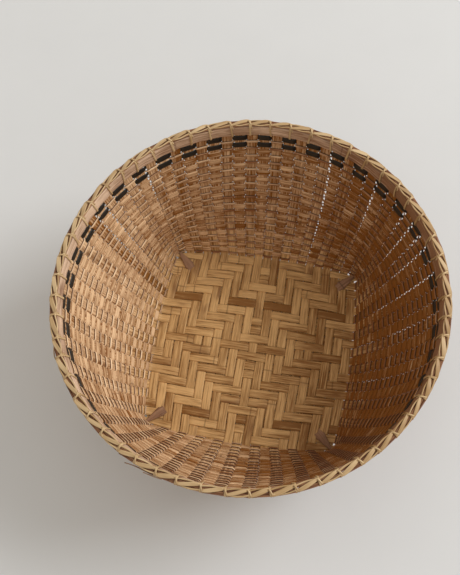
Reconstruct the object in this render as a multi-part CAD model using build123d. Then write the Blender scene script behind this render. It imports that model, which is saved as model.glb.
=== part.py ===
from build123d import *
from math import atan2, cos, pi, sin, sqrt
import os

# A woven bamboo basket with a square twill floor and a round lashed rim.
# Millimetres, +Z up, origin at the centre of the footprint on the ground.

# ---- Floor --------------------------------------------------------------
STRIPS_PER_SIDE = 21
STRIP_PITCH = 8.0
STRIP_WIDTH = 7.6
STRIP_THICK = 1.0
LAYER_GAP = 0.25
CORNER_STRIP_WIDTH = 4.2

# ---- Base braces --------------------------------------------------------
BRACE_THICK = 1.6
BRACE_WIDTH = 9.0
BRACE_NECK = 1.8
BRACE_GAP = 0.3
BRACE_HUMP_TOP = 6.0
BRACE_HUMP_FOOT = 14.0
BRACE_TAPER = 100.0
BRACE_NECK_START = 117.0
BRACE_REACH = 123.4
BRACE_TIP = 24.0
BRACE_TIP_THICK = 1.0

# ---- Wall ---------------------------------------------------------------
WALL_BASE_HALF = 88.0
WALL_TOP_RADIUS = 153.5
WALL_TOP_Z = 137.0
WALL_BULGE = 0.55
SIDE_RADIUS = 760.0
CORNER_RADIUS = 4.0
STAKE_SECTIONS = 7
STAKE_TOP_WIDTH = 8.8
CORNER_FAN = 0.025

# ---- Weavers ------------------------------------------------------------
ROWS = 18
BLACK_ROWS = 2
ROWS_START_Z = 7.5
ROWS_END_Z = 126.0
ROW_GROWTH = 0.21
WIDE_SHARE = 0.66
WEAVER_THICK = 1.0
WEAVER_GAP = 0.45
ROW_GAP = 0.3

# ---- Rim ----------------------------------------------------------------
HOOP_LOW_Z = 128.2
HOOP_TOP_Z = 138.4
INNER_HOOP_THICK = 2.0
OUTER_HOOP_THICK = 2.4
HOOP_GAP = 0.3
HOOP_SPARE = 0.15
FILLER_THICK = 1.2
FILLER_WIDTH = 3.0
WRAPS = 56
WRAP_WIDTH = 2.4
WRAP_THICK = 0.9

# ---- Levels worked out from the sizes above -----------------------------
FLOOR_LOW_Z = 2 * BRACE_THICK + 2 * BRACE_GAP
LOWER_MID_Z = FLOOR_LOW_Z + STRIP_THICK / 2
UPPER_MID_Z = LOWER_MID_Z + STRIP_THICK + LAYER_GAP
FLOOR_TOP_Z = UPPER_MID_Z + STRIP_THICK / 2
STAKES = 4 * STRIPS_PER_SIDE
STAKE_STEP = 2 * pi / STAKES
SIDE_LAST = STRIPS_PER_SIDE // 2

os.makedirs("parts", exist_ok=True)


def save(shape, node, colour):
    shape.label = node
    shape.color = Color(*colour)
    export_step(shape, f"parts/{node}.step")


# ---- The wall surface ---------------------------------------------------
# Every level of the wall is a rounded square of eight tangent arcs. It
# starts nearly square at the floor and ends as a circle at the rim.

def rise(z):
    return min(max((z - LOWER_MID_Z) / (WALL_TOP_Z - LOWER_MID_Z), 0.0), 1.0)


def outline(z, offset=0.0):
    """Side centre, side radius, corner centre and corner radius at height z."""
    t = rise(z)
    reach = t * (1 + WALL_BULGE) - WALL_BULGE * t * t
    half = WALL_BASE_HALF + (WALL_TOP_RADIUS - WALL_BASE_HALF) * reach
    roundness = 1 - (1 - t) ** 2
    side = 1 / ((1 - roundness) / SIDE_RADIUS + roundness / half)
    corner = CORNER_RADIUS * (1 - roundness) + half * roundness
    lead = half - side
    centre = (lead + sqrt(max(2 * (side - corner) ** 2 - lead ** 2, 0.0))) / 2
    return lead, side + offset, centre, corner + offset


def wall_radius(z, angle, offset=0.0):
    """Distance from the axis to the wall at height z, in direction angle."""
    lead, side, centre, corner = outline(z, offset)
    turn = abs((angle + pi / 4) % (pi / 2) - pi / 4)
    span = sqrt((centre - lead) ** 2 + centre ** 2)
    if span < 1e-6:
        return side
    touch_x = centre + corner * (centre - lead) / span
    touch_y = centre + corner * centre / span
    if turn <= atan2(touch_y, touch_x):
        along = lead * cos(turn)
        return along + sqrt(side ** 2 - lead ** 2 + along ** 2)
    along = centre * (cos(turn) + sin(turn))
    return along + sqrt(corner ** 2 - 2 * centre ** 2 + along ** 2)


def stake_point(index, z, base_z):
    """Centre line of stake number index of the +X side at height z."""
    lead, side, _, _ = outline(base_z)
    low_y = index * STRIP_PITCH
    low_x = lead + sqrt(side ** 2 - low_y ** 2)
    share = (z - base_z) / (WALL_TOP_Z - base_z)
    top_angle = index * STAKE_STEP - CORNER_FAN * sin(4 * index * STAKE_STEP)
    angle = atan2(low_y, low_x) * (1 - share) + top_angle * share
    radius = wall_radius(z, angle)
    return Vector(radius * cos(angle), radius * sin(angle), z)


# ---- Strips -------------------------------------------------------------

def stake_width(index, share):
    """Strips widen up the wall, and the corner ones are squeezed where they leave the floor."""
    full = STRIP_WIDTH + (STAKE_TOP_WIDTH - STRIP_WIDTH) * share
    if abs(index) < SIDE_LAST:
        return full
    eased = min(share / 0.5, 1.0)
    return CORNER_STRIP_WIDTH + (full - CORNER_STRIP_WIDTH) * eased


def across_at(point):
    """Unit vector across a +X stake at a point of the wall, level and along the outline."""
    lead, side, centre, _ = outline(point.Z)
    slope = centre / max(centre - lead, 1e-6)
    turn = 1 if point.Y >= 0 else -1
    if abs(point.Y) <= slope * (point.X - lead) or centre < 1e-6:
        out = Vector(point.X - lead, point.Y, 0).normalized()
    else:
        out = Vector(point.X - centre, point.Y - turn * centre, 0).normalized()
    return Vector(-out.Y, out.X, 0)


def section(centre, across, before, after, width):
    """Corners across a flat strip, mitred between the runs before and after it."""
    mean = (before + after).normalized()
    normal = across.cross(mean).normalized()
    mitre = max(before.normalized().dot(mean), 0.5)
    side = across * (width / 2)
    lift = normal * (STRIP_THICK / 2 / mitre)
    return [centre - side - lift, centre + side - lift, centre + side + lift, centre - side + lift]


def flat_face(corners):
    return Face(Wire.make_polygon(corners, close=True))


def facets(sections):
    """A solid of flat faces through a row of four-cornered sections."""
    faces = [flat_face(sections[0]), flat_face(sections[-1])]
    for near, far in zip(sections, sections[1:]):
        for n in range(4):
            m = (n + 1) % 4
            faces.append(flat_face([near[n], near[m], far[m]]))
            faces.append(flat_face([near[n], far[m], far[n]]))
    return Solid(Shell(faces))


def strip(index, mid_z):
    """One strip of the X family: up the -X wall, over the floor, up the +X wall."""
    levels = [mid_z + (WALL_TOP_Z - mid_z) * n / STAKE_SECTIONS for n in range(STAKE_SECTIONS + 1)]
    right = [stake_point(index, z, mid_z) for z in levels]
    left = [Vector(-p.X, p.Y, p.Z) for p in reversed(right)]
    points = left + right
    shares = [1 - n / STAKE_SECTIONS for n in range(STAKE_SECTIONS + 1)]
    shares += [n / STAKE_SECTIONS for n in range(STAKE_SECTIONS + 1)]
    sections = []
    for n, point in enumerate(points):
        before = point - points[n - 1] if n else points[1] - point
        after = points[n + 1] - point if n + 1 < len(points) else before
        across = across_at(Vector(abs(point.X), point.Y, point.Z))
        if point.X < 0:
            across = Vector(-across.X, across.Y, 0)
        width = stake_width(index, shares[n])
        sections.append(section(point, across, before.normalized(), after.normalized(), width))
    return facets(sections)


def make_strips():
    for n in range(STRIPS_PER_SIDE):
        index = n - SIDE_LAST
        tone = 0.62 + 0.04 * (n % 3)
        save(strip(index, UPPER_MID_Z), f"splint_x_{n + 1:02d}", (tone, tone * 0.72, tone * 0.45))
        turned = strip(index, LOWER_MID_Z).rotate(Axis.Z, 90)
        save(turned, f"splint_y_{n + 1:02d}", (tone * 0.95, tone * 0.66, tone * 0.4))


# ---- Weavers ------------------------------------------------------------

def outline_wire(z, offset):
    """The rounded square at height z as one closed wire of eight arcs."""
    lead, side, centre, corner = outline(z, offset)
    span = sqrt((centre - lead) ** 2 + centre ** 2)
    touch_x = centre + corner * (centre - lead) / span
    touch_y = centre + corner * centre / span
    tip = centre + corner / sqrt(2)
    arcs = []
    for quarter in range(4):
        turn = 90 * quarter
        middle = Vector(lead + side, 0, z)
        low = Vector(touch_x, -touch_y, z)
        high = Vector(touch_x, touch_y, z)
        onward = Vector(touch_y, touch_x, z)
        diagonal = Vector(tip, tip, z)
        flat = Edge.make_three_point_arc(low, middle, high)
        bend = Edge.make_three_point_arc(high, diagonal, onward)
        arcs += [flat.rotate(Axis.Z, turn), bend.rotate(Axis.Z, turn)]
    return Wire(arcs)


def ring(low_z, high_z, inner, outer):
    """A band woven round the wall between two heights, offset from the stakes."""
    body = Solid.make_loft([outline_wire(low_z, outer), outline_wire(high_z, outer)], ruled=True)
    core = Solid.make_loft([outline_wire(low_z, inner), outline_wire(high_z, inner)], ruled=True)
    return (body - core).solids()[0]


def row_edges(row):
    """Low, middle and high level of one pair of weavers, rows growing upwards."""
    def level(n):
        share = n / ROWS
        climb = share * (1 - ROW_GROWTH) + ROW_GROWTH * share ** 2
        return ROWS_START_Z + (ROWS_END_Z - ROWS_START_Z) * climb
    low = level(row)
    high = level(row + 1)
    return low, low + (high - low) * (1 - WIDE_SHARE), high


def weaver_offset(z):
    """Horizontal offset that gives the weaver gap at right angles to the wall."""
    step = 1.0
    run = outline(z + step)[0] + outline(z + step)[1] - outline(z)[0] - outline(z)[1]
    return sqrt(1 + (run / step) ** 2)


def make_weavers():
    wide, black, narrow = [], [], []
    for row in range(ROWS):
        low, middle, high = row_edges(row)
        stretch = weaver_offset(low)
        near = (STRIP_THICK / 2 + WEAVER_GAP) * stretch
        far = near + WEAVER_THICK * stretch
        narrow.append(ring(low + ROW_GAP / 2, middle - ROW_GAP / 2, -far, -near))
        target = black if row >= ROWS - BLACK_ROWS else wide
        target.append(ring(middle + ROW_GAP / 2, high - ROW_GAP / 2, near, far))
    save(Compound(children=wide), "weavers_wide", (0.72, 0.5, 0.3))
    save(Compound(children=narrow), "weavers_narrow", (0.8, 0.6, 0.38))
    save(Compound(children=black), "weavers_black", (0.06, 0.06, 0.055))


# ---- Rim ----------------------------------------------------------------

def rim_slope():
    span = WALL_TOP_Z - HOOP_LOW_Z
    return (wall_radius(WALL_TOP_Z, 0) - wall_radius(HOOP_LOW_Z, 0)) / span


def rim_mid(z):
    """Radius of the middle of the stakes inside the rim, carried on above them."""
    return wall_radius(HOOP_LOW_Z, 0) + (z - HOOP_LOW_Z) * rim_slope()


def turned_band(low_z, high_z, inner, outer):
    """A hoop: a flat band turned round the axis, leaning with the wall."""
    corners = [(rim_mid(low_z) + inner, low_z), (rim_mid(low_z) + outer, low_z),
               (rim_mid(high_z) + outer, high_z), (rim_mid(high_z) + inner, high_z)]
    face = Face(Wire.make_polygon([Vector(r, 0, z) for r, z in corners], close=True))
    return revolve(face, axis=Axis.Z)


def make_hoops():
    near = STRIP_THICK / 2 + HOOP_GAP + HOOP_SPARE
    inner = turned_band(HOOP_LOW_Z, HOOP_TOP_Z, -near - INNER_HOOP_THICK, -near)
    outer = turned_band(HOOP_LOW_Z, HOOP_TOP_Z, near, near + OUTER_HOOP_THICK)
    low = HOOP_TOP_Z + HOOP_GAP
    high = low + FILLER_THICK
    fillers = [turned_band(low, high, -HOOP_GAP / 2 - FILLER_WIDTH, -HOOP_GAP / 2),
               turned_band(low, high, HOOP_GAP / 2, HOOP_GAP / 2 + FILLER_WIDTH)]
    save(inner, "rim_inner_hoop", (0.62, 0.45, 0.38))
    save(outer, "rim_outer_hoop", (0.55, 0.38, 0.3))
    save(Compound(children=fillers), "rim_fillers", (0.5, 0.32, 0.24))


def wrap():
    """One turn of the lashing round both hoops, in the XZ plane."""
    near = STRIP_THICK / 2 + 2 * HOOP_GAP + HOOP_SPARE
    inside = near + INNER_HOOP_THICK
    outside = near + OUTER_HOOP_THICK
    low = HOOP_LOW_Z - HOOP_GAP
    high = HOOP_TOP_Z + 2 * HOOP_GAP + FILLER_THICK

    def loop(grow):
        low_z = low - grow
        high_z = high + grow
        return [Vector(rim_mid(low_z) - inside - grow, 0, low_z),
                Vector(rim_mid(low_z) + outside + grow, 0, low_z),
                Vector(rim_mid(high_z) + outside + grow, 0, high_z),
                Vector(rim_mid(high_z) - inside - grow, 0, high_z)]
    band = Face(Wire.make_polygon(loop(WRAP_THICK), close=True))
    hole = Face(Wire.make_polygon(loop(0), close=True))
    face = band - hole
    return extrude(face, amount=WRAP_WIDTH / 2, dir=(0, 1, 0), both=True)


def make_lashing():
    loops = []
    for n in range(WRAPS):
        gap = round(n * STAKES / WRAPS) + 0.5
        loops.append(wrap().rotate(Axis.Z, gap * 360 / STAKES))
    save(Compound(children=loops), "rim_lashing", (0.8, 0.66, 0.46))


# ---- Base braces --------------------------------------------------------

def brace_side(hump):
    """Half of the side view of a brace as (along, height) points, from the middle outwards."""
    lift = hump * (BRACE_THICK + BRACE_GAP)
    tip_low = FLOOR_TOP_Z + BRACE_GAP
    tip_high = tip_low + BRACE_TIP_THICK
    under = [(BRACE_HUMP_TOP, lift), (BRACE_HUMP_FOOT, 0), (BRACE_REACH, 0)]
    turned = [(BRACE_REACH, tip_high), (BRACE_REACH - BRACE_TIP, tip_high),
              (BRACE_REACH - BRACE_TIP, tip_low)]
    inside = [(BRACE_REACH - BRACE_TIP_THICK, tip_low), (BRACE_REACH - BRACE_TIP_THICK, BRACE_THICK)]
    above = [(BRACE_HUMP_FOOT, BRACE_THICK), (BRACE_HUMP_TOP, lift + BRACE_THICK)]
    return under + turned + inside + above


def brace(hump, turn):
    """A splint laid corner to corner under the floor, with both ends turned up and in."""
    half = brace_side(hump)
    profile = half + [(-s, z) for s, z in reversed(half)]
    side = Face(Wire.make_polygon([Vector(s, 0, z) for s, z in profile], close=True))
    slab = extrude(side, amount=BRACE_WIDTH, dir=(0, 1, 0), both=True)
    wide = BRACE_WIDTH / 2
    neck = BRACE_NECK / 2
    plan = [(-BRACE_TAPER, wide), (BRACE_TAPER, wide), (BRACE_NECK_START, neck), (BRACE_REACH + 1, neck),
            (BRACE_REACH + 1, -neck), (BRACE_NECK_START, -neck), (BRACE_TAPER, -wide), (-BRACE_TAPER, -wide),
            (-BRACE_NECK_START, -neck), (-BRACE_REACH - 1, -neck), (-BRACE_REACH - 1, neck),
            (-BRACE_NECK_START, neck)]
    plan_face = Face(Wire.make_polygon([Vector(x, y, 0) for x, y in plan], close=True))
    blank = extrude(plan_face, amount=FLOOR_TOP_Z * 2, dir=(0, 0, 1))
    return (slab & blank).solids()[0].rotate(Axis.Z, turn)


def make_braces():
    save(brace(0, 45), "base_brace_a", (0.42, 0.28, 0.22))
    save(brace(1, -45), "base_brace_b", (0.42, 0.28, 0.22))


make_strips()
make_weavers()
make_hoops()
make_lashing()
make_braces()
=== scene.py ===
from math import cos, pi, radians, sin, sqrt

import bpy
import numpy as np
from mathutils import Matrix, Vector


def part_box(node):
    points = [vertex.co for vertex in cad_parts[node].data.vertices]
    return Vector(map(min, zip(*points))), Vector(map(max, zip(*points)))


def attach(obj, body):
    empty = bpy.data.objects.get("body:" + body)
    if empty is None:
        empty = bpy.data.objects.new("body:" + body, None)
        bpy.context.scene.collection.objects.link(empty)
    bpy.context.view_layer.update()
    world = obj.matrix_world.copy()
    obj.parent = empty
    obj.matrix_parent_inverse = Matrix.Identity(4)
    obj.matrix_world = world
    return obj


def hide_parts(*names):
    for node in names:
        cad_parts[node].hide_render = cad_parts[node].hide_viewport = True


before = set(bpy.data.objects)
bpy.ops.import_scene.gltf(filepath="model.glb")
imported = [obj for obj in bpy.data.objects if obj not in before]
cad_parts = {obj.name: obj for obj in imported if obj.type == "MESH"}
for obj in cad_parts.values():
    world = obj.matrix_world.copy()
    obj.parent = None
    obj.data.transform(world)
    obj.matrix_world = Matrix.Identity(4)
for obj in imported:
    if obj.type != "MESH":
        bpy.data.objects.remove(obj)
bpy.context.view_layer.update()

# A woven bamboo basket: square twill floor, plain-woven wall, lashed rim.
# Shapes are worked out in millimetres and scaled to metres when meshed.

MM = 0.001
SEED = 4127

# ---- Camera ---------------------------------------------------------------

CAMERA_PLACE = (0.0615, -0.2752, 0.8810)
CAMERA_TURNS = ((15.47, "Z"), (21.35, "X"), (-6.53, "Z"))
LENS_MM = 79.4
SENSOR_MM = 36.0
CAMERA_NEAR = 0.02

camera_data = bpy.data.cameras.new("camera")
camera_data.sensor_fit = "HORIZONTAL"
camera_data.sensor_width = SENSOR_MM
camera_data.lens = LENS_MM
camera_data.clip_start = CAMERA_NEAR
camera = bpy.data.objects.new("camera", camera_data)
bpy.context.collection.objects.link(camera)
aim = Matrix.Identity(4)
for degrees_turned, axis in CAMERA_TURNS:
    aim = aim @ Matrix.Rotation(radians(degrees_turned), 4, axis)
camera.matrix_world = Matrix.Translation(CAMERA_PLACE) @ aim
bpy.context.scene.camera = camera

# ---- Sizes of the frame ---------------------------------------------------

STRIP_PITCH = 8.0
STRIP_THICK = 1.0
LAYER_RISE = 0.625
SIDE_LAST = 10
STAKES = 84
STAKE_STEP = 2 * pi / STAKES
CORNER_FAN = 0.025
FLOOR_MID_Z = 4.925
FLOOR_BOW = 0.05
BASE_Z = {"x": FLOOR_MID_Z + LAYER_RISE, "y": FLOOR_MID_Z - LAYER_RISE}

LOWER_MID_Z = BASE_Z["y"]
WALL_BASE_HALF = 88.0
WALL_TOP_RADIUS = 153.5
WALL_TOP_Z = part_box("splint_x_11")[1].z / MM
WALL_BULGE = 0.55
SIDE_RADIUS = 760.0
CORNER_RADIUS = 4.0

ROWS = 18
BLACK_ROWS = 2
ROWS_START_Z = 6.3
ROWS_END_Z = 126.0
ROW_GROWTH = 0.21
WIDE_SHARE = 0.66

HOOP_LOW_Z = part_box("rim_inner_hoop")[0].z / MM
HOOP_TOP_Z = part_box("rim_inner_hoop")[1].z / MM
WRAPS = 56


# ---- The wall surface -----------------------------------------------------

def outline(z):
    """Side centre, side radius, corner centre and corner radius of the wall at height z."""
    t = np.clip((z - LOWER_MID_Z) / (WALL_TOP_Z - LOWER_MID_Z), 0, 1)
    reach = t * (1 + WALL_BULGE) - WALL_BULGE * t * t
    half = WALL_BASE_HALF + (WALL_TOP_RADIUS - WALL_BASE_HALF) * reach
    roundness = 1 - (1 - t) ** 2
    side = 1 / ((1 - roundness) / SIDE_RADIUS + roundness / half)
    corner = CORNER_RADIUS * (1 - roundness) + half * roundness
    lead = half - side
    centre = (lead + np.sqrt(np.maximum(2 * (side - corner) ** 2 - lead ** 2, 0))) / 2
    return lead, side, centre, corner


def wall_radius(z, angle):
    lead, side, centre, corner = outline(z)
    turn = np.abs((angle + pi / 4) % (pi / 2) - pi / 4)
    span = np.maximum(np.sqrt((centre - lead) ** 2 + centre ** 2), 1e-9)
    touch = np.arctan2(centre + corner * centre / span, centre + corner * (centre - lead) / span)
    along = lead * np.cos(turn)
    on_side = along + np.sqrt(side ** 2 - lead ** 2 + along ** 2)
    along = centre * (np.cos(turn) + np.sin(turn))
    on_corner = along + np.sqrt(np.maximum(corner ** 2 - 2 * centre ** 2 + along ** 2, 0))
    return np.where(turn <= touch, on_side, on_corner)


def wall_point(z, angle):
    radius = wall_radius(z, angle)
    return np.stack([radius * np.cos(angle), radius * np.sin(angle), z + 0 * radius], axis=-1)


def unit(vectors):
    return vectors / np.maximum(np.linalg.norm(vectors, axis=-1, keepdims=True), 1e-9)


def wall_axes(z, angle):
    """Unit vectors round the wall, up the wall and out of it."""
    round_it = unit(wall_point(z, angle + 0.004) - wall_point(z, angle - 0.004))
    up = unit(wall_point(z + 0.5, angle) - wall_point(z - 0.5, angle))
    out = unit(np.cross(round_it, up))
    return round_it, unit(np.cross(out, round_it)), out


def stake_angle(index, z, base_z):
    """Direction of a stake at height z, on its way from its place in the floor to its place at the rim."""
    lead, side, _, _ = outline(base_z)
    low_y = index * STRIP_PITCH
    low_x = lead + np.sqrt(side ** 2 - low_y ** 2)
    share = (z - base_z) / (WALL_TOP_Z - base_z)
    top = index * STAKE_STEP - CORNER_FAN * np.sin(4 * index * STAKE_STEP)
    return np.arctan2(low_y, low_x) * (1 - share) + top * share


def stake_angles(z):
    """Direction of all the stakes at height z, once round from the +X side."""
    found = []
    for quarter in range(4):
        base_z = BASE_Z["x"] if quarter % 2 == 0 else BASE_Z["y"]
        for index in range(-SIDE_LAST, SIDE_LAST + 1):
            found.append(quarter * pi / 2 + float(stake_angle(index, z, base_z)))
    return np.array(found)


def rim_radius(z):
    """Middle of the stakes inside the rim, carried on above them."""
    low = float(wall_radius(HOOP_LOW_Z, 0.0))
    slope = (float(wall_radius(WALL_TOP_Z, 0.0)) - low) / (WALL_TOP_Z - HOOP_LOW_Z)
    return low + (z - HOOP_LOW_Z) * slope


RIM_LEAN = np.array([rim_radius(HOOP_TOP_Z) - rim_radius(HOOP_LOW_Z), HOOP_TOP_Z - HOOP_LOW_Z])
RIM_LEAN = RIM_LEAN / np.linalg.norm(RIM_LEAN)


# ---- Swept strips ---------------------------------------------------------

FLAT = [(-1, -0.3), (-0.93, -1), (-0.6, -1), (0.6, -1), (0.93, -1), (1, -0.3),
        (1, 0.3), (0.93, 1), (0.6, 1.05), (-0.6, 1.05), (-0.93, 1), (-1, 0.3)]
ROUND_SIDES = 10
ROUND = [(cos(a), sin(a)) for a in [2 * pi * (n + 0.5) / ROUND_SIDES for n in range(ROUND_SIDES)]]
GRAIN_SHIFT = 900


def smooth(share):
    """Eases a share from 0 to 1 in and out."""
    return share * share * (3 - 2 * share)


def spun(points, turn):
    """Points turned about the Z axis."""
    return points @ np.array([[cos(turn), -sin(turn), 0], [sin(turn), cos(turn), 0], [0, 0, 1]]).T


def shift_grain(shape, rng):
    """Moves a strip to its own stretch of the fibre pattern."""
    shape["grain"] += rng.uniform(-GRAIN_SHIFT, GRAIN_SHIFT, 3)


def waves(position, rng, reach, lengths):
    """A smooth wandering value along a strip, made of a few sine waves."""
    total = 0 * position
    for length in lengths:
        total = total + np.sin(2 * pi * position / length + rng.uniform(0, 2 * pi))
    return reach * total / len(lengths)


def sweep(path, across, width, thick, profile, closed=False, tone=0.5):
    """Vertices, faces and surface coordinates of a strip that follows a path."""
    path = np.asarray(path, float)
    count, sides = len(path), len(profile)
    if closed:
        tangent = unit(np.roll(path, -1, 0) - np.roll(path, 1, 0))
    else:
        tangent = unit(np.gradient(path, axis=0))
    across = unit(across - tangent * np.sum(across * tangent, axis=1, keepdims=True))
    normal = np.cross(tangent, across)
    width = np.broadcast_to(np.asarray(width, float), (count,))
    thick = np.broadcast_to(np.asarray(thick, float), (count,))
    tone = np.broadcast_to(np.asarray(tone, float), (count,))
    steps = np.linalg.norm(np.diff(path, axis=0), axis=1)
    along = np.concatenate([[0], np.cumsum(steps)])
    u = np.array([p[0] for p in profile])
    v = np.array([p[1] for p in profile])
    verts = (path[:, None] + across[:, None] * (u[None, :, None] * width[:, None, None] / 2)
             + normal[:, None] * (v[None, :, None] * thick[:, None, None] / 2))
    grain = np.stack([np.repeat(along[:, None], sides, 1), u[None] * width[:, None] / 2,
                      v[None] * thick[:, None] / 2], axis=-1)
    edge = np.repeat(np.abs(u)[None], count, 0)
    faces = []
    for i in range(count if closed else count - 1):
        j = (i + 1) % count
        for k in range(sides):
            m = (k + 1) % sides
            faces.append((i * sides + k, i * sides + m, j * sides + m, j * sides + k))
    if not closed:
        faces.append(tuple(range(sides - 1, -1, -1)))
        faces.append(tuple((count - 1) * sides + k for k in range(sides)))
    # The dark edge (wear and painted gap shade) is a little weaker on the -u side than on the +u side.
    edge = edge * np.where(u > 0, 1.0, 0.9)[None]
    return {"verts": verts.reshape(-1, 3), "faces": faces, "grain": grain.reshape(-1, 3),
            "edge": edge.reshape(-1), "tone": np.repeat(tone, sides)}


def joined(parts):
    """Several sweeps as one shape."""
    start, faces = 0, []
    for part in parts:
        faces += [tuple(v + start for v in face) for face in part["faces"]]
        start += len(part["verts"])
    whole = {key: np.concatenate([p[key] for p in parts]) for key in ("verts", "grain", "edge", "tone")}
    whole["faces"] = faces
    return whole


def piece(name, shape, material, nodes=(), wall=None):
    """Makes the Blender object, with its grain coordinates, and fixes it to the frame."""
    mesh = bpy.data.meshes.new(name)
    mesh.from_pydata((shape["verts"] * MM).tolist(), [], shape["faces"])
    grain = mesh.attributes.new("grain", "FLOAT_VECTOR", "POINT")
    grain.data.foreach_set("vector", shape["grain"].astype(np.float32).ravel())
    for key in ("edge", "tone"):
        values = mesh.attributes.new(key, "FLOAT", "POINT")
        values.data.foreach_set("value", shape[key].astype(np.float32))
    if wall is not None:
        values = mesh.attributes.new("wall", "FLOAT", "POINT")
        values.data.foreach_set("value", wall.astype(np.float32))
    mesh.polygons.foreach_set("use_smooth", [True] * len(mesh.polygons))
    mesh.materials.append(material)
    mesh.update()
    made = bpy.data.objects.new(name, mesh)
    bpy.context.collection.objects.link(made)
    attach(made, "root")
    if nodes:
        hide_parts(*nodes)
    return made


# ---- Materials ------------------------------------------------------------

class Nodes:
    """Short names for wiring one material."""

    def __init__(self, name):
        self.material = bpy.data.materials.new(name)
        self.material.use_nodes = True
        self.tree = self.material.node_tree
        self.shader = self.tree.nodes["Principled BSDF"]

    def add(self, kind, inputs=(), **settings):
        node = self.tree.nodes.new(kind)
        for key, value in settings.items():
            setattr(node, key, value)
        for key, value in dict(inputs).items():
            self.feed(node.inputs[key], value)
        return node

    def feed(self, socket, value):
        if isinstance(value, bpy.types.NodeSocket):
            self.tree.links.new(value, socket)
        else:
            socket.default_value = value

    def attribute(self, name, output):
        return self.add("ShaderNodeAttribute", attribute_name=name).outputs[output]

    def math(self, operation, a, b=0.0, clamp=False):
        node = self.add("ShaderNodeMath", {0: a, 1: b}, operation=operation, use_clamp=clamp)
        return node.outputs[0]

    def noise(self, vector, scale, detail, roughness=0.55):
        scaled = self.add("ShaderNodeVectorMath", {0: vector, 1: scale}, operation="MULTIPLY")
        node = self.add("ShaderNodeTexNoise", {"Vector": scaled.outputs[0], "Scale": 1.0,
                                               "Detail": detail, "Roughness": roughness})
        return node.outputs["Fac"]

    def spread(self, value, low, high, to_low=0.0, to_high=1.0):
        node = self.add("ShaderNodeMapRange", {"Value": value, "From Min": low, "From Max": high,
                                               "To Min": to_low, "To Max": to_high})
        return node.outputs[0]

    def mix(self, factor, a, b, blend="MIX"):
        node = self.add("ShaderNodeMix", data_type="RGBA", blend_type=blend)
        self.feed(node.inputs[0], factor)
        self.feed(node.inputs[6], a)
        self.feed(node.inputs[7], b)
        return node.outputs[2]


def bamboo(name, light, dark, stain, rough=(0.42, 0.66), fibre=0.9, bump=0.35, knuckle=True, gloss=0.2,
           rim=0.5, wall=None):
    """Split bamboo: lengthwise fibres, blotches, dark edges that are partly wear and partly painted gap
    shade, and the odd node line.
    """
    n = Nodes(name)
    grain = n.attribute("grain", "Vector")
    tone = n.attribute("tone", "Fac")
    edge = n.attribute("edge", "Fac")
    fine = n.noise(grain, (0.09, 2.6, 1.0), 3.0)
    streak = n.noise(grain, (0.022, 0.7, 0.5), 4.0, 0.7)
    blotch = n.noise(grain, (0.035, 0.10, 0.2), 2.0)
    shade = n.math("ADD", tone, n.spread(streak, 0.3, 0.7, -fibre * 0.5, fibre * 0.5))
    shade = n.math("ADD", shade, n.spread(blotch, 0.3, 0.7, -0.24, 0.24))
    shade = n.math("ADD", shade, n.spread(fine, 0.3, 0.7, -fibre * 0.26, fibre * 0.26), clamp=True)
    colour = n.mix(shade, (*light, 1), (*dark, 1))
    if wall:
        risen = n.mix(shade, (*wall[0], 1), (*wall[1], 1))
        colour = n.mix(n.attribute("wall", "Fac"), colour, risen)
    stained = n.noise(grain, (0.016, 0.06, 0.3), 3.0, 0.7)
    colour = n.mix(n.spread(stained, 0.58, 0.74, 0.0, 0.75), colour, (*stain, 1))
    # Dark edges: worn edges and painted shade in the gaps between strips, darkened towards half the stain
    # colour.
    colour = n.mix(n.spread(edge, 0.84, 1.0, 0.0, rim), colour, (*[c * 0.5 for c in stain], 1))
    if knuckle:
        place = n.add("ShaderNodeSeparateXYZ", {0: grain}).outputs[0]
        cells = n.add("ShaderNodeTexVoronoi", {"W": place, "Scale": 0.0062, "Randomness": 0.9},
                      voronoi_dimensions="1D", feature="DISTANCE_TO_EDGE").outputs["Distance"]
        line = n.spread(cells, 0.0, 0.006, 0.55, 0.0)
        colour = n.mix(line, colour, (*[c * 0.5 for c in stain], 1))
    n.feed(n.shader.inputs["Base Color"], colour)
    n.feed(n.shader.inputs["Roughness"], n.spread(streak, 0.3, 0.7, *rough))
    n.shader.inputs["Specular IOR Level"].default_value = gloss
    height = n.math("ADD", n.math("MULTIPLY", fine, 0.6), streak)
    lift = n.add("ShaderNodeBump", {"Height": height, "Strength": bump, "Distance": 0.0004})
    n.feed(n.shader.inputs["Normal"], lift.outputs[0])
    return n.material


def plain_table(name, colour):
    n = Nodes(name)
    where = n.add("ShaderNodeTexCoord").outputs["Object"]
    speck = n.noise(where, (14.0, 14.0, 14.0), 4.0)
    shade = n.mix(n.spread(speck, 0.35, 0.65), (*[c * 0.985 for c in colour], 1), (*colour, 1))
    n.feed(n.shader.inputs["Base Color"], shade)
    n.feed(n.shader.inputs["Roughness"], n.spread(speck, 0.3, 0.7, 0.5, 0.6))
    return n.material


WALL_LIGHT = (0.86, 0.575, 0.335)
WALL_DARK = (0.25, 0.088, 0.014)
floor_bamboo = bamboo("splint_bamboo", (0.74, 0.45, 0.19), (0.26, 0.11, 0.026), (0.20, 0.08, 0.025),
                      fibre=1.2, rim=0.38, wall=(WALL_LIGHT, WALL_DARK))
weaver_bamboo = bamboo("weaver_bamboo", WALL_LIGHT, WALL_DARK, (0.22, 0.08, 0.025), fibre=1.1,
                       rim=0.6)
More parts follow.
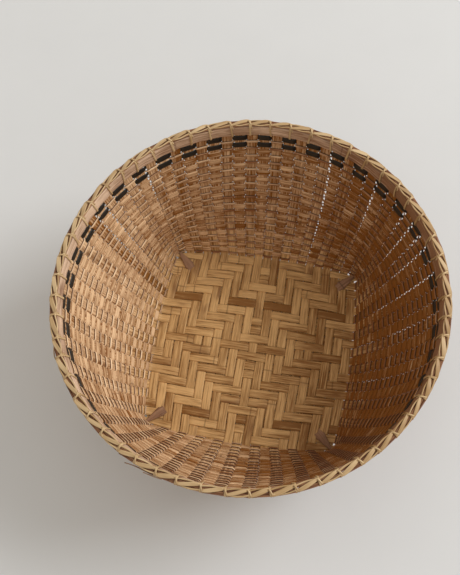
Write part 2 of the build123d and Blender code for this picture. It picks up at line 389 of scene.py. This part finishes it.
# Narrow weavers: lighter partly by their own colour and partly as a painted highlight on their raised backs;
# their near-black edges are painted shade in the deep gaps beside them.
narrow_bamboo = bamboo("narrow_bamboo", (0.94, 0.66, 0.40), (0.25, 0.085, 0.018), (0.18, 0.065, 0.02),
                       fibre=0.8, rim=0.97, gloss=0.5)
black_bamboo = bamboo("black_bamboo", (0.022, 0.021, 0.018), (0.006, 0.006, 0.006), (0.03, 0.026, 0.02),
                      rough=(0.3, 0.5), bump=0.25, knuckle=False, gloss=0.5)
hoop_bamboo = bamboo("hoop_bamboo", (0.78, 0.55, 0.38), (0.26, 0.125, 0.06), (0.20, 0.085, 0.045),
                     rough=(0.5, 0.75), fibre=0.95, bump=0.7)
filler_bamboo = bamboo("filler_bamboo", (0.44, 0.22, 0.11), (0.16, 0.06, 0.03), (0.08, 0.03, 0.018),
                       fibre=0.8, bump=0.5)
lashing_bamboo = bamboo("lashing_bamboo", (0.68, 0.49, 0.27), (0.38, 0.22, 0.085), (0.28, 0.15, 0.06),
                        rough=(0.38, 0.6), fibre=0.6, bump=0.5, knuckle=False, gloss=0.45)
brace_bamboo = bamboo("brace_bamboo", (0.40, 0.22, 0.125), (0.16, 0.07, 0.034), (0.08, 0.035, 0.02),
                      fibre=0.8, bump=0.5)


# ---- Floor twill and stakes -----------------------------------------------

CELL_STEPS = 4
CROSSING_SPAN = 3.0
FLOOR_END_GAP = 1.6
FOOT_RISE = 1.3
STAKE_TOP_GAP = 0.3
STAKE_POINTS = 46
STAKE_POINT_BIAS = 1.2
STRIP_WIDTH = 7.85
STRIP_WIDENING = 1.3
FOOT_NARROWING = 0.6
FOOT_SHARE = 0.12
CORNER_NARROWING = 2.9


def x_on_top(column, row):
    """Whether the left-to-right strip shows at a crossing of the diamond twill."""
    column, row = abs(column), abs(row)
    if column == 0 and row == 0:
        return False
    if column == 0:
        return row % 6 in (1, 2, 3)
    if row == 0:
        return column % 6 in (1, 2, 3)
    return (column + row) % 6 in (0, 1, 2)


def floor_rise(family, index, place):
    """Height of a strip above the floor's middle, where it is place mm along."""
    cells = np.arange(-SIDE_LAST, SIDE_LAST + 1)
    if family == "x":
        state = np.array([1.0 if x_on_top(c, index) else -1.0 for c in cells])
    else:
        state = np.array([-1.0 if x_on_top(index, r) else 1.0 for r in cells])
    spot = np.clip(place / STRIP_PITCH, -SIDE_LAST, SIDE_LAST) + SIDE_LAST
    low = np.clip(np.floor(spot).astype(int), 0, 2 * SIDE_LAST - 1)
    part = np.clip((spot - low - 0.5) * STRIP_PITCH / CROSSING_SPAN + 0.5, 0, 1)
    part = smooth(part)
    return LAYER_RISE * (state[low] * (1 - part) + state[low + 1] * part)


def strip_path(family, index, rng):
    """Centre line, across vectors and share of the wall's height of one strip, laid along X."""
    base_z = BASE_Z[family]
    lead, side, _, _ = outline(base_z)
    reach = float(lead + np.sqrt(side ** 2 - (index * STRIP_PITCH) ** 2)) - FLOOR_END_GAP
    place = np.arange(-SIDE_LAST * CELL_STEPS, SIDE_LAST * CELL_STEPS + 1) * STRIP_PITCH / CELL_STEPS
    spread = 1 + FLOOR_BOW * (1 - (index / SIDE_LAST) ** 2)
    bowed = 1 + FLOOR_BOW * (1 - (place / (SIDE_LAST * STRIP_PITCH)) ** 2)
    sideways = index * STRIP_PITCH * bowed + waves(place, rng, 0.16, (70, 130))
    floor = np.stack([place * spread, sideways, FLOOR_MID_Z + floor_rise(family, index, place)], axis=1)
    first = floor[:1] * (0, 1, 1) + (-reach, 0, 0)
    last = floor[-1:] * (0, 1, 1) + (reach, 0, 0)
    floor = np.concatenate([first, floor, last])
    foot_z = base_z + FOOT_RISE
    climb = np.linspace(0, 1, STAKE_POINTS) ** STAKE_POINT_BIAS
    z = foot_z + (WALL_TOP_Z - STAKE_TOP_GAP - foot_z) * climb
    angle = stake_angle(index, z, base_z)
    right = wall_point(z, angle)
    right_across = wall_axes(z, angle)[0]
    right_across[:, 2] = 0
    left = right[::-1] * (-1, 1, 1)
    left_across = right_across[::-1] * (-1, 1, 1)
    path = np.concatenate([left, floor, right])
    across = np.concatenate([left_across, np.tile((0.0, 1.0, 0.0), (len(floor), 1)), right_across])
    risen = (z - base_z) / (WALL_TOP_Z - base_z)
    return path, across, np.concatenate([risen[::-1], np.zeros(len(floor)), risen])


def strip_width(index, share, path, rng):
    """Width of a strip, narrower at the foot of the wall and most so at the corners."""
    foot = np.exp(-((share - FOOT_SHARE) / FOOT_SHARE) ** 2)
    width = STRIP_WIDTH + STRIP_WIDENING * share - FOOT_NARROWING * foot
    if abs(index) == SIDE_LAST:
        near = np.clip((np.abs(path[:, 0]) - 52) / 28, 0, 1)
        width = width - CORNER_NARROWING * near * np.clip(1 - share / 0.45, 0, 1)
    return width + waves(path[:, 0], rng, 0.12, (45, 95, 160))


# Tones matched to single floor strips in the photo, by place from the middle.
ROW_TONES = {5: 0.98, 0: 0.72, -1: 0.5, -2: 0.55, -3: 0.58, -4: 0.5, -8: 0.92}


def strip_tone(family, index, place, rng):
    """How dark a strip is along its length, before the painted shade on the floor and the wall is added."""
    tone = rng.uniform(0.12, 0.5)
    if family == "x":
        tone = ROW_TONES.get(index, tone)
    along = waves(place, rng, 0.10, (60, 150))
    return np.clip(tone + along, 0.0, 1.1)


def make_strips():
    for family, turn in (("x", 0.0), ("y", pi / 2)):
        for number in range(1, 2 * SIDE_LAST + 2):
            index = number - 1 - SIDE_LAST
            rng = np.random.default_rng(SEED + number + (100 if family == "y" else 0))
            path, across, share = strip_path(family, index, rng)
            width = strip_width(index, share, path, rng)
            tone = strip_tone(family, index, path[:, 0], rng)
            heading = np.arctan2(path[:, 1], path[:, 0]) + turn
            on_wall = np.clip(share * 3, 0, 1)
            east = path[:, 0] * cos(turn) - path[:, 1] * sin(turn)
            # Painted shadow: the floor is darker towards +X, where the right wall shades it.
            tone = tone + 0.3 * np.clip((east + 20) / 90, 0, 1) * (1 - on_wall)
            # On the wall the stakes take the wall's tone with its painted shade, darkest towards +X.
            tone = tone * (1 - 0.45 * on_wall) + (0.15 + painted_side_shade(heading)) * on_wall
            shape = sweep(path, across, width, STRIP_THICK, FLAT, tone=tone)
            shift_grain(shape, rng)
            shape["verts"] = spun(shape["verts"], turn)
            node = f"splint_{family}_{number:02d}"
            wall = np.repeat(on_wall, len(FLAT))
            piece(f"bamboo_{node}", shape, floor_bamboo, [node], wall)


# ---- Weavers --------------------------------------------------------------

WEAVE_STEPS = 12
WIDE_PARITY = 0
WIDE_THICK = 0.75
WIDE_SWING = 0.82
WIDE_GAP = 0.1
NARROW_THICK = 1.25
NARROW_SWING = 1.15
NARROW_GAP = 0.15
PASS_START = 0.34
PASS_SPAN = 0.32
GAP_PINCH = 0.45

# Light shows through some gaps between stakes, most of them round stake 15.
GAP_LEAN = 0.06 + 0.5 * np.clip(np.cos((np.arange(STAKES) - 15) * STAKE_STEP), 0, 1) ** 2
OPEN_GAPS = np.random.default_rng(SEED + 7).uniform(0, 1, STAKES) < GAP_LEAN


def row_edges(row):
    """Heights of the bottom, the narrow weaver's top and the top of one row."""
    def level(n):
        share = n / ROWS
        grown = share * (1 - ROW_GROWTH) + ROW_GROWTH * share ** 2
        return ROWS_START_Z + (ROWS_END_Z - ROWS_START_Z) * grown
    low, high = level(row), level(row + 1)
    return low, low + (high - low) * (1 - WIDE_SHARE), high


RIGHT_DARKENING = 0.95
BACK_DARKENING = 0.46
FRONT_DARKENING = 0.36


def painted_side_shade(angle):
    """Painted shade matched to the photo, darkest towards +X and a little dark towards both Y sides.

    It is part of the material's tone.
    """
    right = np.clip(np.cos(angle + 0.1), 0, 1) ** 1.3
    back, front = np.clip(np.sin(angle), 0, 1), np.clip(-np.sin(angle), 0, 1)
    return RIGHT_DARKENING * right + BACK_DARKENING * back + FRONT_DARKENING * front


def weaver(z, width, thick, swing, inside_parity, profile, rng, tone, shaded_gap_side):
    """A splint woven once round the wall, in front of every second stake."""
    stakes = stake_angles(z)
    onward = np.append(stakes[1:], stakes[0] + 2 * pi)
    part = np.arange(WEAVE_STEPS) / WEAVE_STEPS
    angle = (stakes[:, None] * (1 - part) + onward[:, None] * part).ravel()
    ease = smooth(np.clip((part - PASS_START) / PASS_SPAN, 0, 1))
    side = np.where(np.arange(STAKES) % 2 == inside_parity, -1.0, 1.0)
    push = (side[:, None] * (1 - ease) + np.roll(side, -1)[:, None] * ease).ravel()
    wander = waves(angle, rng, 0.22, (2 * pi / 3, 2 * pi / 7, 2 * pi / 11, 2 * pi / 23))
    _, up, out = wall_axes(z + wander, angle)
    path = wall_point(z + wander, angle) + out * (push * swing)[:, None]
    width = width * (1 + waves(angle, rng, 0.05, (2 * pi / 5, 2 * pi / 13, 2 * pi / 29)))
    pinch = np.exp(-((part - 0.5) / 0.2) ** 2) * rng.uniform(0.3, 1.6, (STAKES, 1)) * OPEN_GAPS[:, None]
    width = width * (1 - GAP_PINCH * pinch.ravel())
    # Painted shade: the weaver darkens towards +X and a little towards both Y sides.
    shade = tone + waves(angle, rng, 0.16, (2 * pi / 2, 2 * pi / 9, 2 * pi / 31)) + painted_side_shade(angle)
    shape = sweep(path, up, width, thick, profile, closed=True, tone=shade)
    # Painted shade: the dark edge is stronger on the side facing the deep gap between rows and weaker on the
    # other.
    shape["edge"] *= np.tile([1.15 if p[0] * shaded_gap_side > 0 else 0.86 for p in profile], len(path))
    shift_grain(shape, rng)
    return shape


def make_weavers():
    for row in range(ROWS):
        rng = np.random.default_rng(SEED + 300 + row)
        low, middle, high = row_edges(row)
        black = row >= ROWS - BLACK_ROWS
        node = "weavers_black" if black else "weavers_wide"
        material = black_bamboo if black else weaver_bamboo
        name = f"weaver_{'black' if black else 'wide'}_{row + 1:02d}"
        stretch = 1 / wall_axes(np.float64((low + high) / 2), np.float64(0.0))[1][2]
        wide = weaver((middle + high) / 2, (high - middle) * stretch - WIDE_GAP, WIDE_THICK, WIDE_SWING,
                      WIDE_PARITY, FLAT, rng, rng.uniform(0.0, 0.45), -1)
        piece(name, wide, material, [node])
        narrow = weaver((low + middle) / 2, (middle - low) * stretch - NARROW_GAP, NARROW_THICK,
                        NARROW_SWING, 1 - WIDE_PARITY, ROUND, rng, rng.uniform(0.0, 0.4), 1)
        piece(f"weaver_narrow_{row + 1:02d}", narrow, narrow_bamboo, ["weavers_narrow"])


# ---- Rim ------------------------------------------------------------------

HOOP_SPAN = (HOOP_TOP_Z - HOOP_LOW_Z) / RIM_LEAN[1]
HOOP_POINTS = 672
LAPPED_HOOP_POINTS = 704
LAP_START = radians(12)
LAP_ANGLE = 0.3
LAP_LIFT = 2.1
INNER_OFFSET = -1.95
INNER_THICK = 2.0
OUTER_OFFSET = 2.15
OUTER_THICK = 2.2
HOOP_TRIM = 0.3
FILLER_LAYS = ((-2.3, 0.3), (-0.75, 0.7), (0.85, 0.35), (2.4, 0.6))
FILLER_WIDTH = 1.3
FILLER_THICK = 1.5
WRAP_POINTS = 48
LEAF_POINTS = 26
STRAND_POINTS = 18
KNOT_POINTS = 16


def rim_points(angle, offset, height):
    """Points at an offset out from the rim's middle and a height up the lean."""
    lean_out, lean_up = RIM_LEAN
    radius = rim_radius(HOOP_LOW_Z) + offset * lean_up + height * lean_out
    z = HOOP_LOW_Z - offset * lean_out + height * lean_up
    return np.stack([radius * np.cos(angle), radius * np.sin(angle), z + 0 * angle], axis=-1)


def rim_up(angle):
    return np.stack([RIM_LEAN[0] * np.cos(angle), RIM_LEAN[0] * np.sin(angle),
                     RIM_LEAN[1] + 0 * angle], axis=-1)


def band(angle, offset, height, width, thick, profile, rng, tone, closed=True):
    """A strip that runs round the rim."""
    across = rim_up(angle)
    shape = sweep(rim_points(angle, offset, height), across, width, thick, profile, closed, tone)
    shift_grain(shape, rng)
    return shape


def make_hoops():
    angle = np.linspace(0, 2 * pi, HOOP_POINTS, endpoint=False)
    swell = np.cos(WRAPS * angle + pi) * 0.22
    rng = np.random.default_rng(SEED + 400)
    # Painted shade round the inner hoop, darkest towards +X.
    tone = 0.1 + 1.1 * painted_side_shade(angle) + waves(angle, rng, 0.3, (2 * pi / 2, 2 * pi / 5, 2 * pi / 17))
    inner = band(angle, INNER_OFFSET - swell,
                 HOOP_SPAN / 2 + waves(angle, rng, 0.15, (2 * pi / 4, 2 * pi / 9)),
                 HOOP_SPAN - HOOP_TRIM + waves(angle, rng, 0.25, (2 * pi / 3, 2 * pi / 11)),
                 INNER_THICK, FLAT, rng, tone)
    piece("inner_hoop", inner, hoop_bamboo, ["rim_inner_hoop"])
    angle = LAP_START + np.linspace(0, 2 * pi + LAP_ANGLE, LAPPED_HOOP_POINTS)
    turn = (angle - LAP_START) / (2 * pi)
    lap = np.clip((turn - 0.995) / 0.04, 0, 1)
    tone = 0.85 + waves(angle, rng, 0.3, (2 * pi / 3, 2 * pi / 7, 2 * pi / 19))
    swell = np.cos(WRAPS * angle + pi) * 0.2
    tapered = 1 - 0.35 * np.clip((turn - 1.02) / 0.03, 0, 1)
    outer = band(angle, OUTER_OFFSET + swell + LAP_LIFT * lap, HOOP_SPAN / 2 - 0.6 * lap,
                 (HOOP_SPAN - HOOP_TRIM) * tapered, OUTER_THICK, FLAT, rng, tone, closed=False)
    piece("outer_hoop", outer, hoop_bamboo, ["rim_outer_hoop"])
    angle = np.linspace(0, 2 * pi, HOOP_POINTS, endpoint=False)
    dip = np.cos(WRAPS * angle) * 0.3
    strands = []
    for offset, tone in FILLER_LAYS:
        wander = waves(angle, rng, 0.2, (2 * pi / 6, 2 * pi / 15))
        shade = tone + waves(angle, rng, 0.3, (2 * pi / 3, 2 * pi / 13))
        strands.append(band(angle, offset + wander, HOOP_SPAN + 0.65 - dip * 0.7, FILLER_WIDTH,
                            FILLER_THICK, ROUND, rng, shade))
    piece("rim_filler_splints", joined(strands), filler_bamboo, ["rim_fillers"])


def smooth_line(points, count, closed=False):
    """Evenly sampled Catmull-Rom curve through a few points."""
    points = np.asarray(points, float)
    if closed:
        padded = np.concatenate([points[-1:], points, points[:2]])
    else:
        before, after = 2 * points[:1] - points[1:2], 2 * points[-1:] - points[-2:-1]
        padded = np.concatenate([before, points, after])
    spans = len(padded) - 3
    found = []
    for t in np.linspace(0, spans, count, endpoint=not closed):
        k = min(int(t), spans - 1)
        f = t - k
        a, b, c, d = padded[k:k + 4]
        found.append(0.5 * (2 * b + (c - a) * f + (2 * a - 5 * b + 4 * c - d) * f * f
                            + (3 * b - a - 3 * c + d) * f ** 3))
    return np.array(found)


def wrap_angle(number, rng):
    """Direction of one turn of lashing, evenly spaced with a little unevenness."""
    return (number * STAKES / WRAPS + 0.5 + rng.uniform(-0.14, 0.14)) * STAKE_STEP


def rim_outward(angle):
    """The way across the top of the rim, from the inside out."""
    return rim_points(np.float64(angle), 1.0, 0.0) - rim_points(np.float64(angle), 0.0, 0.0)


def around(angle):
    return np.array((-sin(angle), cos(angle), 0.0))


def rim_at(angle, offset, height, shift=0.0):
    """One rim point, moved shift mm along the rim."""
    return rim_points(np.float64(angle), offset, height) + around(angle) * shift


def wrap_loop(angle, rng):
    """One turn of lashing round the hoops, with its own slant."""
    slant = rng.uniform(-1.6, 1.6)
    top = HOOP_SPAN + 1.7
    corners = [(-3.55, 1.0, slant), (-3.6, HOOP_SPAN * 0.5, slant * 0.4), (-3.45, HOOP_SPAN - 0.6, 0),
               (-2.2, top, 0), (0.0, top + 0.45, 0), (2.2, top, 0), (3.4, HOOP_SPAN - 0.6, 0),
               (3.65, HOOP_SPAN * 0.5, 0), (3.5, 0.8, -slant * 0.5), (2.6, -0.9, 0), (0.0, -1.1, 0),
               (-2.5, -0.9, slant)]
    path = smooth_line([rim_at(angle, o, h, s) for o, h, s in corners], WRAP_POINTS, closed=True)
    wide = 1.6 + rng.uniform(-0.25, 0.4)
    # Painted shade: the lashing turn darkens towards +X and a little towards both Y sides.
    tone = rng.uniform(0.0, 0.45) + 0.6 * painted_side_shade(angle)
    shape = sweep(path, np.tile(around(angle), (WRAP_POINTS, 1)), wide, 0.7, ROUND, True, tone)
    shift_grain(shape, rng)
    return shape


def leaf(angle, onward, rng):
    """The slack strand that crosses the top of the rim from one turn to the next."""
    top = HOOP_SPAN + 1.6
    f = np.linspace(0, 1, 7)
    offset = 2.1 - 4.2 * smooth(f) + rng.uniform(-0.3, 0.3)
    arch = np.array([-1.1, 0.0, 0.4, 0.6, 0.5, 0.1, -1.0])
    angles = angle + (onward - angle) * (f * 1.12 - 0.06)
    points = [rim_at(a, o, top + h) for a, o, h in zip(angles, offset, arch)]
    path = smooth_line(points, LEAF_POINTS)
    g = np.linspace(0, 1, LEAF_POINTS)
    width = 1.5 + 1.9 * np.sin(pi * g) ** 0.7 + rng.uniform(-0.4, 0.4)
    twist = np.linspace(0.25, -0.25, LEAF_POINTS)[:, None]
    across = rim_outward((angle + onward) / 2)[None] + np.array((0, 0, 1.0))[None] * twist
    # Painted shade: the strand darkens towards +X and a little towards both Y sides.
    tone = rng.uniform(0.0, 0.5) + 0.5 * painted_side_shade(angle)
    shape = sweep(path, across, width, 0.8, FLAT, tone=tone)
    shift_grain(shape, rng)
    return shape


def side_strand(angle, onward, offset, rng):
    """A thin strand that runs from turn to turn along one edge of the rim."""
    f = np.linspace(0, 1, 7)
    bow = offset * (0.55 + 0.45 * np.sin(pi * f)) + rng.uniform(-0.15, 0.15)
    arch = np.array([0.1, 0.1, -0.15, -0.3, -0.15, 0.1, 0.2]) + rng.uniform(-0.1, 0.1)
    top = HOOP_SPAN + 1.75
    points = [rim_at(angle + (onward - angle) * t, o, top + h) for t, o, h in zip(f, bow, arch)]
    path = smooth_line(points, STRAND_POINTS)
    # Painted shade: the strand darkens towards +X and a little towards both Y sides.
    shape = sweep(path, np.tile(rim_outward(angle), (STRAND_POINTS, 1)), rng.uniform(1.0, 1.5), 0.7,
                  ROUND, tone=rng.uniform(0.0, 0.6) + 0.5 * painted_side_shade(angle))
    shift_grain(shape, rng)
    return shape


def knot(angle, rng):
    """A short crossing turn that pinches the strands where they meet."""
    top = HOOP_SPAN + 2.2
    points = [rim_at(angle, -3.3, HOOP_SPAN - 2.2, -1.9), rim_at(angle, -2.4, top - 0.3, -0.9),
              rim_at(angle, -0.6, top + 0.55, 0.2), rim_at(angle, 1.6, top + 0.1, 1.1),
              rim_at(angle, 3.4, HOOP_SPAN - 0.6, 2.0)]
    path = smooth_line(points, KNOT_POINTS)
    across = np.tile(around(angle), (KNOT_POINTS, 1))
    shape = sweep(path, across, 1.2, 0.75, ROUND, tone=rng.uniform(0.2, 0.6))
    shift_grain(shape, rng)
    return shape


def make_lashing():
    rng = np.random.default_rng(SEED + 500)
    angles = [wrap_angle(n, rng) for n in range(WRAPS + 1)]
    angles[-1] = angles[0] + 2 * pi
    wraps = [wrap_loop(a, rng) for a in angles[:-1]]
    leaves = [leaf(a, b, rng) for a, b in zip(angles, angles[1:])]
    leaves += [side_strand(a, b, -2.9, rng) for a, b in zip(angles, angles[1:])]
    leaves += [side_strand(a, b, 2.6, rng) for a, b in zip(angles[::2], angles[1::2])]
    knots = [knot(a, rng) for a in angles[:-1]]
    piece("lashing_turns", joined(wraps), lashing_bamboo, ["rim_lashing"])
    piece("lashing_strands", joined(leaves), lashing_bamboo, ["rim_lashing"])
    piece("lashing_knots", joined(knots), lashing_bamboo, ["rim_lashing"])


# ---- Base braces ----------------------------------------------------------

BRACE_POINTS = 220
BRACE_WIDTH = 9.0
BRACE_THICK = 1.2
CROSSING_LIFT = 1.9
TAPER_START = 100
TAPER_SPAN = 17
TAPER_LOSS = 7.2
TUCK_SHARE = 0.86
TUCK_TIP_WIDTH = 1.6
TUCK_WIDENING = 6.4
TUCK_SPAN = 22


def make_braces():
    """Splints laid corner to corner under the floor, their ends turned up and in."""
    for node, turn, lift in (("base_brace_a", pi / 4, 0.0), ("base_brace_b", -pi / 4, CROSSING_LIFT)):
        rng = np.random.default_rng(SEED + 600 + int(lift))
        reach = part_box(node)[1].x / MM * sqrt(2) - 2.2
        half = [(0, lift + 0.8), (6, lift + 0.8), (14, 0.8), (60, 0.8), (reach - 8, 0.8), (reach - 1.2, 1.3),
                (reach - 0.3, 3.6), (reach - 1.4, 6.3), (reach - 8, 7.0), (reach - 20, 6.85),
                (reach - 25, 5.6), (reach - 31, 4.6)]
        points = [(-s, 0.0, z) for s, z in reversed(half[1:])] + [(s, 0.0, z) for s, z in half]
        path = smooth_line(points, BRACE_POINTS)
        run = np.linspace(-1, 1, BRACE_POINTS)
        far = np.abs(path[:, 0])
        tapered = BRACE_WIDTH - TAPER_LOSS * np.clip((far - TAPER_START) / TAPER_SPAN, 0, 1)
        width = np.where(far > TAPER_START, tapered, BRACE_WIDTH)
        tuck = TUCK_TIP_WIDTH + TUCK_WIDENING * np.clip((reach - 4 - far) / TUCK_SPAN, 0, 1)
        width = np.where(np.abs(run) > TUCK_SHARE, tuck, width)
        shape = sweep(path, np.tile((0.0, 1.0, 0.0), (BRACE_POINTS, 1)), width, BRACE_THICK, FLAT,
                      tone=0.4 + waves(path[:, 0], rng, 0.3, (30, 90)))
        shift_grain(shape, rng)
        shape["verts"] = spun(shape["verts"], turn)
        piece(f"bamboo_{node}", shape, brace_bamboo, [node])


# ---- Loose ends -----------------------------------------------------------

LOOSE_POINTS = 24


def loose_end(angle, points, width, tone):
    """A tapering end through points given as offset, height and shift along the rim."""
    rng = np.random.default_rng(SEED + int(width * 100))
    path = smooth_line([rim_at(angle, o, h, s) for o, h, s in points], LOOSE_POINTS)
    taper = width * (1 - 0.6 * np.linspace(0, 1, LOOSE_POINTS) ** 2)
    across = np.tile(rim_up(np.float64(angle)), (LOOSE_POINTS, 1))
    shape = sweep(path, across, taper, 0.7, FLAT, tone=tone)
    shift_grain(shape, rng)
    return shape


def make_loose_ends():
    """Splint ends that stand out where the outer hoop and the lashing were finished off."""
    first = loose_end(radians(247), [(3.3, 5, 14), (4.4, 4, 6), (5.6, 2.5, -3), (7.6, 1.5, -11)], 2.2, 0.6)
    second = loose_end(radians(243), [(3.3, 2, 8), (4.2, 0, 2), (5.2, -2.5, -5), (6.0, -4.5, -9)], 1.7, 0.8)
    third = loose_end(radians(251), [(3.4, 8, 10), (4.6, 8, 3), (5.6, 6.5, -5)], 1.9, 0.4)
    piece("loose_hoop_ends", joined([first, second, third]), hoop_bamboo)
    curl = loose_end(radians(206), [(3.3, 9, -6), (4.6, 8.5, -2), (5.6, 7, 2), (5.2, 5, 4.4), (4.2, 5.2, 3)],
                     0.8, 0.2)
    piece("loose_lashing_end", curl, lashing_bamboo)


# ---- Floor and light ------------------------------------------------------

TABLE_HALF = 3.0
TABLE_COLOUR = (0.70, 0.70, 0.70)
ROOM_COLOUR = (1.0, 0.95, 0.87, 1)
ROOM_STRENGTH = 0.62
WINDOW_PLACE = (3.0, 1.5, 2.7)
WINDOW_TARGET = (0, 0, 0.06)
WINDOW_SIZE = (2.2, 2.2)
WINDOW_POWER = 128
WINDOW_COLOUR = (0.95, 0.98, 1.0)


def make_table():
    mesh = bpy.data.meshes.new("table_top")
    corners = [(x * TABLE_HALF, y * TABLE_HALF, 0) for x, y in ((-1, -1), (1, -1), (1, 1), (-1, 1))]
    mesh.from_pydata(corners, [], [(0, 1, 2, 3)])
    mesh.materials.append(plain_table("pale_table", TABLE_COLOUR))
    table = bpy.data.objects.new("table_top", mesh)
    bpy.context.collection.objects.link(table)


def make_lamp(name, place, target, size, power, colour):
    data = bpy.data.lights.new(name, "AREA")
    data.shape = "RECTANGLE"
    data.size = size[0]
    data.size_y = size[1]
    data.energy = power
    data.color = colour
    lamp = bpy.data.objects.new(name, data)
    bpy.context.collection.objects.link(lamp)
    lamp.location = place
    lamp.rotation_euler = (Vector(target) - Vector(place)).to_track_quat("-Z", "Y").to_euler()


def make_light():
    world = bpy.data.worlds.new("soft_room")
    world.use_nodes = True
    background = world.node_tree.nodes["Background"]
    background.inputs["Color"].default_value = ROOM_COLOUR
    background.inputs["Strength"].default_value = ROOM_STRENGTH
    bpy.context.scene.world = world
    bpy.context.scene.view_settings.view_transform = "Standard"
    make_lamp("window", WINDOW_PLACE, WINDOW_TARGET, WINDOW_SIZE, WINDOW_POWER, WINDOW_COLOUR)


make_strips()
make_weavers()
make_hoops()
make_lashing()
make_braces()
make_loose_ends()
make_table()
make_light()
